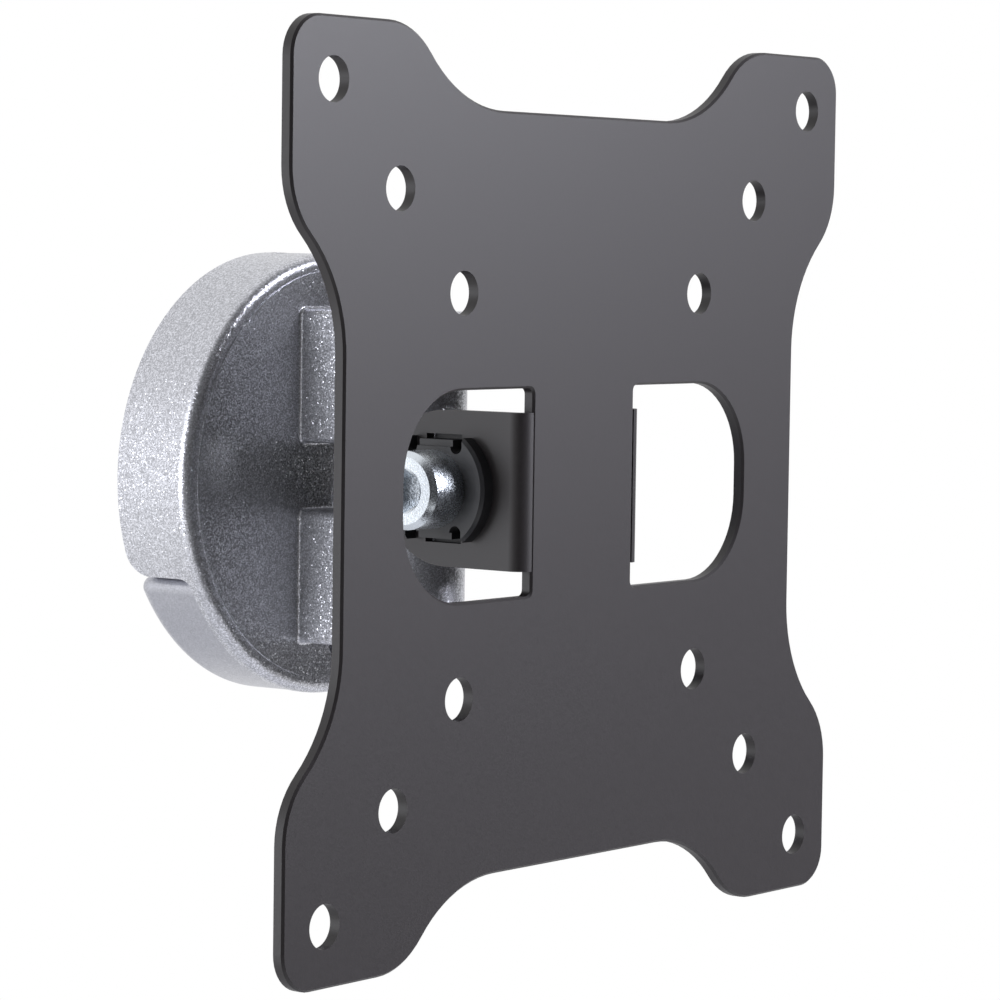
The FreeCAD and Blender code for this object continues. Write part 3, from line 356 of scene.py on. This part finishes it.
choose(tree, ray.outputs["Is Camera Ray"], mirrored, 1, either.inputs["Fac"])
tree.links.new(matt.outputs["BSDF"], either.inputs[1])
tree.links.new(seen.outputs["Emission"], either.inputs[2])
tree.links.new(either.outputs["Shader"], output.inputs["Surface"])
floor_mesh.materials.append(pale)


# Studio: the camera sees white all round. Glossy surfaces see it white behind the mount and
# dark in front, with a soft change between, and it lights matt surfaces evenly.
front_bound = -0.35
back_bound = 0.1
front_dark = 0.06
room_light = 0.35

room = bpy.data.worlds.new("studio")
room.use_nodes = True
tree = room.node_tree
sky = tree.nodes["Background"]
sky.inputs["Color"].default_value = white
direction = tree.nodes.new("ShaderNodeTexCoord")
parts = tree.nodes.new("ShaderNodeSeparateXYZ")
tree.links.new(direction.outputs["Generated"], parts.inputs["Vector"])
behind = stretch(tree, parts.outputs["Y"], front_dark, 1, front_bound, back_bound)
behind.interpolation_type = "SMOOTHSTEP"
ray = tree.nodes.new("ShaderNodeLightPath")
mirrored = choose(tree, ray.outputs["Is Glossy Ray"], ray.outputs["Is Transmission Ray"], 1)
soft = choose(tree, mirrored, room_light, behind.outputs["Result"])
choose(tree, ray.outputs["Is Camera Ray"], soft, 1, sky.inputs["Strength"])
bpy.context.scene.world = room


# Lamps: one on the left for the skirt, the lugs and the screw head. It would whiten the back of
# the monitor plate, so that piece is lit from the left by a weaker one further back. One high
# on the right shines on the plate's front.
def soft_lamp(name, place, aim, size, colour, power):
    """A rectangular lamp that shines from one point towards another."""
    data = bpy.data.lights.new(name, "AREA")
    data.shape = "RECTANGLE"
    data.size, data.size_y = size
    data.color = colour
    data.energy = power
    lamp = bpy.data.objects.new(name, data)
    lamp.location = place
    lamp.rotation_mode = "QUATERNION"
    lamp.rotation_quaternion = (Vector(aim) - Vector(place)).to_track_quat("-Z", "Y")
    bpy.context.scene.collection.objects.link(lamp)
    return lamp


def share_out(lamp, node, state):
    """Let a lamp light one piece alone, or every piece but that one."""
    pieces = bpy.data.collections.new(lamp.name + "_pieces")
    pieces.objects.link(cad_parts[node])
    pieces.collection_objects[0].light_linking.link_state = state
    lamp.light_linking.receiver_collection = pieces


left_lamp = soft_lamp("left_lamp", place=(-0.95, 0.16, 0.08), aim=(0, -0.02, 0),
                      size=(0.35, 0.7), colour=(0.92, 0.94, 1.0), power=5.8)
share_out(left_lamp, "monitor_plate", "EXCLUDE")
tab_lamp = soft_lamp("tab_lamp", place=(-0.76, 0.54, -0.06), aim=(-0.012, -0.04, 0),
                     size=(0.35, 0.7), colour=(0.92, 0.94, 1.0), power=2.4)
share_out(tab_lamp, "monitor_plate", "INCLUDE")
soft_lamp("high_lamp", place=(0.56, -0.78, 0.37), aim=(-0.03, -0.05, 0.03),
          size=(0.25, 0.5), colour=(0.91, 0.92, 1.0), power=15.2)


# Camera: a long lens, to the left of the plate and a little above its middle. Its place and
# turn were worked out from the screw holes and the outline of the plate.
image_size = 1000
focal_pixels = 3839.7
sensor_width = 36
nearest = 0.01
farthest = 100
camera_from_plate = Vector((-0.39318, -0.29284, 0.02962))
camera_right = Vector((0.6153, -0.7882, 0.0141))
camera_up = Vector((0.0414, 0.0501, 0.9979))

plate_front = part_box("monitor_plate")[0].y
data = bpy.data.cameras.new("camera")
data.sensor_width = sensor_width
data.lens = focal_pixels / image_size * sensor_width
data.clip_start = nearest
data.clip_end = farthest
camera = bpy.data.objects.new("camera", data)
camera_back = camera_right.cross(camera_up).normalized()
camera_up = camera_back.cross(camera_right).normalized()
turn = Matrix((camera_right, camera_up, camera_back)).transposed().to_4x4()
camera.matrix_world = Matrix.Translation(camera_from_plate + Vector((0, plate_front, 0))) @ turn
bpy.context.scene.collection.objects.link(camera)
bpy.context.scene.camera = camera
bpy.context.scene.view_settings.view_transform = "Standard"
